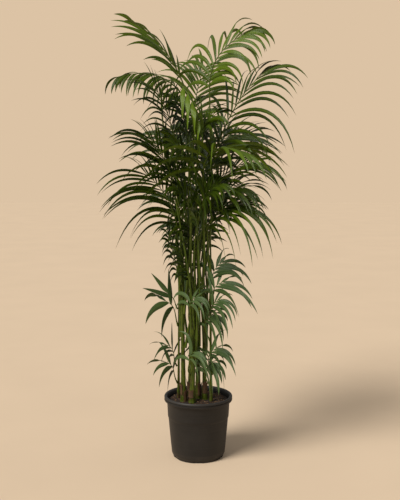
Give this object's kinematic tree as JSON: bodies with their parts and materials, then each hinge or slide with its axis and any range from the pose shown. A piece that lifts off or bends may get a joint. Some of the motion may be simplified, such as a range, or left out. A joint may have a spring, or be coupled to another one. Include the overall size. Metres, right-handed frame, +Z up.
{
  "type": "potted palm",
  "caption": "Tall feather-leaved indoor palm with several canes and arching fronds, growing in soil in a tapered round plastic nursery pot.",
  "frame": {"origin": "the middle of the pot's underside, on the floor that the pot stands on", "axes": "+Z up; -Y is the plant's front, towards the viewer; +X is to the viewer's right"},
  "size_m": [0.7771, 0.812, 1.7776],
  "materials": {
    "pot": "satin",
    "soil": "matte",
    "cane": "satin",
    "frond": "satin",
    "young_frond": "satin"
  },
  "bodies": {
    "root": {"cane_back": "cane", "cane_front": "cane", "cane_front_left": "cane", "cane_middle": "cane", "cane_right": "cane", "cane_young_left": "cane", "cane_young_right": "cane", "frond_back_inner": "frond", "frond_back_left": "frond", "frond_back_low": "frond", "frond_back_low_left": "frond", "frond_back_low_right": "frond", "frond_back_lowest": "frond", "frond_back_middle": "frond", "frond_back_right": "frond", "frond_back_top": "frond", "frond_front_centre": "frond", "frond_front_high": "frond", "frond_front_low": "frond", "frond_front_mid": "frond", "frond_front_right": "frond", "frond_inner_high": "frond", "frond_inner_left": "frond", "frond_inner_low": "frond", "frond_inner_lowest": "frond", "frond_inner_right": "frond", "frond_inner_right_low": "frond", "frond_left_high": "frond", "frond_left_low": "frond", "frond_left_lowest": "frond", "frond_left_mid": "frond", "frond_right_back": "frond", "frond_right_high": "frond", "frond_right_low": "frond", "frond_right_lower": "frond", "frond_right_lowest": "frond", "frond_right_mid": "frond", "frond_top_left": "frond", "frond_top_right": "frond", "frond_upper_left": "frond", "frond_young_front_1": "young_frond", "frond_young_front_2": "young_frond", "frond_young_left_1": "young_frond", "frond_young_left_2": "young_frond", "frond_young_left_3": "young_frond", "frond_young_left_4": "young_frond", "frond_young_left_5": "young_frond", "frond_young_right_1": "young_frond", "frond_young_right_2": "young_frond", "frond_young_right_3": "young_frond", "frond_young_right_4": "young_frond", "frond_young_right_5": "young_frond", "frond_young_right_6": "young_frond", "pot": "pot", "potting_soil": "soil"}
  },
  "joints": []
}
